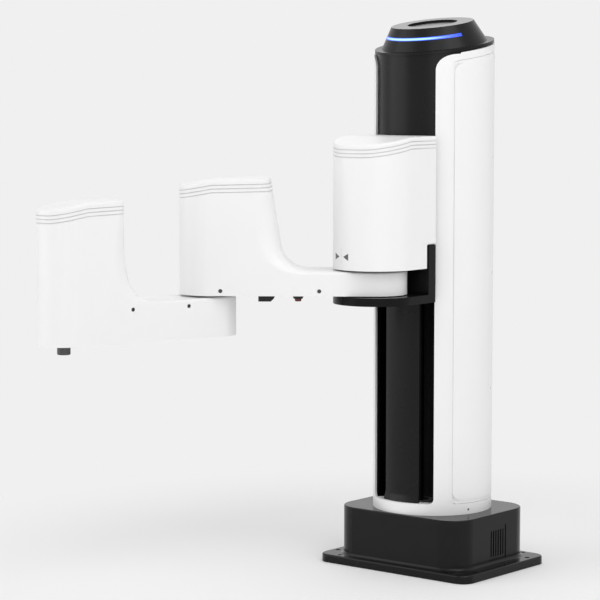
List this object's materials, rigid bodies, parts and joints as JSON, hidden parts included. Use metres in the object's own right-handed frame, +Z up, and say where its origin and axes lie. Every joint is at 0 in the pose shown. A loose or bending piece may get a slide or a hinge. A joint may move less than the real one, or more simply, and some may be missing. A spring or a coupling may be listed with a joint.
{
  "type": "scara robot",
  "caption": "Column-mounted SCARA robot: a carriage on a vertical lift carries two swinging arms and a turning tool shaft.",
  "frame": {"origin": "centre of the base bolt pattern on the surface that the flange stands on, which is also the column axis", "axes": "+Z up along the column and the lift, +X forward through the column's window, +Y to the robot's left"},
  "size_m": [0.5475, 0.3631, 0.6798],
  "materials": {
    "black_casting": "satin",
    "black_sheet": "matte",
    "black_aluminium": "satin",
    "black_plastic": "matte",
    "black_gloss": "gloss",
    "white_plastic": "satin",
    "red_plastic": "satin",
    "light": "satin",
    "steel": "satin",
    "black_steel": "satin",
    "bare_aluminium": "satin",
    "drive_metal": "satin",
    "board": "satin",
    "belt_rubber": "matte"
  },
  "bodies": {
    "base": {"base_casting": "black_casting", "bottom_cover": "black_sheet", "bottom_cover_screws": "steel", "interface_panel": "black_sheet", "power_inlet": "black_plastic", "network_sockets": "black_plastic", "signal_sockets": "black_plastic", "switch_bezel": "black_plastic", "side_grilles": "black_plastic", "power_supply": "drive_metal", "control_board": "board", "column_tube": "black_aluminium", "shell_screws": "steel", "column_shell": "white_plastic", "rear_cover": "white_plastic", "window_sill": "white_plastic", "front_strip": "black_gloss", "upper_housing": "black_plastic", "cap": "black_gloss", "light_strip": "light", "lift_rails": "steel", "screw_bearing_blocks": "bare_aluminium", "screw_bearings": "steel", "lift_motor": "drive_metal", "timing_belt": "belt_rubber", "servo_drivers": "drive_metal"},
    "power_switch": {"switch_rocker": "black_plastic"},
    "screw": {"ball_screw": "steel", "screw_pulley": "bare_aluminium"},
    "motor": {"motor_pulley": "bare_aluminium"},
    "carriage": {"carriage_bracket": "black_aluminium", "slide_plate": "bare_aluminium", "rail_blocks": "steel", "ball_nut": "steel", "nut_housing": "bare_aluminium", "shoulder_bearings": "steel", "shoulder_reducer": "drive_metal", "shoulder_motor": "drive_metal", "carriage_casing": "white_plastic"},
    "rear_arm": {"rear_arm_casing": "white_plastic", "rear_arm_frame": "bare_aluminium", "rear_arm_screws": "steel", "shoulder_shaft": "steel", "elbow_bearing": "steel", "elbow_reducer": "drive_metal", "elbow_motor": "drive_metal", "underside_socket": "black_plastic", "button_bezel": "black_plastic"},
    "button": {"push_button": "red_plastic"},
    "forearm": {"forearm_casing": "white_plastic", "forearm_frame": "bare_aluminium", "forearm_screws": "steel", "forearm_bottom_cover": "white_plastic", "elbow_shaft": "steel", "tool_bearings": "steel", "tool_motor": "drive_metal"},
    "tool": {"tool_shaft": "black_steel"}
  },
  "joints": [
    {"name": "lift", "type": "slide", "parent": "base", "child": "carriage", "axis": [0, 0, 1], "range_m": [-0.21, 0.04]},
    {"name": "screw_turn", "type": "hinge", "parent": "base", "child": "screw", "pos_m": [0.028, 0, 0.3], "axis": [0, 0, 1], "range_deg": [-1450, 7570]},
    {"name": "motor_turn", "type": "hinge", "parent": "base", "child": "motor", "pos_m": [-0.031, 0, 0.06], "axis": [0, 0, 1], "range_deg": [-1450, 7570]},
    {"name": "shoulder", "type": "hinge", "parent": "carriage", "child": "rear_arm", "pos_m": [0.116, 0, 0.36], "axis": [0, 0, 1], "range_deg": [-32.5, 137.5]},
    {"name": "elbow", "type": "hinge", "parent": "rear_arm", "child": "forearm", "pos_m": [0.23775, -0.15867, 0.35], "axis": [0, 0, 1], "range_deg": [-155.5, 84.5]},
    {"name": "tool_spin", "type": "hinge", "parent": "forearm", "child": "tool", "pos_m": [0.42901, -0.21715, 0.3], "axis": [0, 0, 1], "range_deg": [-360, 360]},
    {"name": "button_press", "type": "slide", "parent": "rear_arm", "child": "button", "axis": [0, 0, 1], "range_m": [0, 0.0018], "stiffness_N_per_m": 300, "springref_m": -0.002},
    {"name": "switch_tilt", "type": "hinge", "parent": "base", "child": "power_switch", "pos_m": [-0.0765, 0.016, 0.04], "axis": [0, -1, 0], "range_deg": [0, 16]}
  ],
  "couplings": [
    {"joint": "screw_turn", "follows": "lift", "rad_per_m": -628.32},
    {"joint": "motor_turn", "follows": "lift", "rad_per_m": -628.32}
  ]
}
